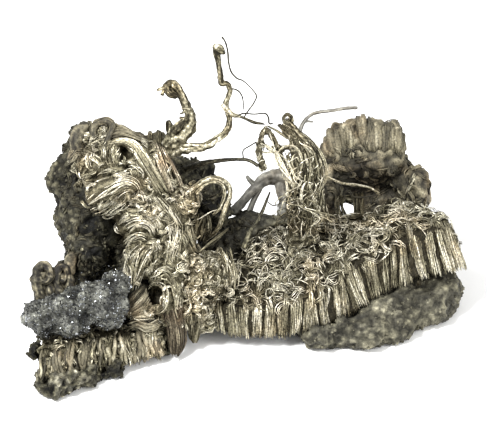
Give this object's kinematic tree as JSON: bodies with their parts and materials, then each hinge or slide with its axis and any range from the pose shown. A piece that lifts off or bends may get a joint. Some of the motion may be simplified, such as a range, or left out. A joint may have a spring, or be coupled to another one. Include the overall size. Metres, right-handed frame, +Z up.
{
  "type": "native silver specimen",
  "caption": "Mineral specimen of matted, curling wire silver with free wires and horns on dark matrix rock, with a dark sulphide crust.",
  "frame": {"origin": "middle of the footprint's bounding box, on the surface that the specimen lies on", "axes": "+X to the viewer's right along the specimen's length, +Y away from the viewer towards the rear block, +Z up"},
  "size_m": [0.0634, 0.0496, 0.0421],
  "materials": {
    "silver": "satin",
    "dull_silver": "matte",
    "sulphide": "satin",
    "dark_rock": "matte",
    "grey_rock": "matte"
  },
  "bodies": {
    "root": {"left_wire_mass": "silver", "front_band": "silver", "foot_wall": "silver", "tuft": "silver", "rams_horn": "silver", "knobbed_wire": "silver", "loop_wire": "silver", "cross_bar_wire": "silver", "needle_wire": "silver", "shelf_wire": "silver", "hair_wire": "dull_silver", "rear_block": "dull_silver", "rear_branch": "dull_silver", "rear_wire": "dull_silver", "curled_stubs": "dull_silver", "sulphide_crust": "sulphide", "left_matrix": "dark_rock", "right_matrix": "grey_rock"}
  },
  "joints": []
}
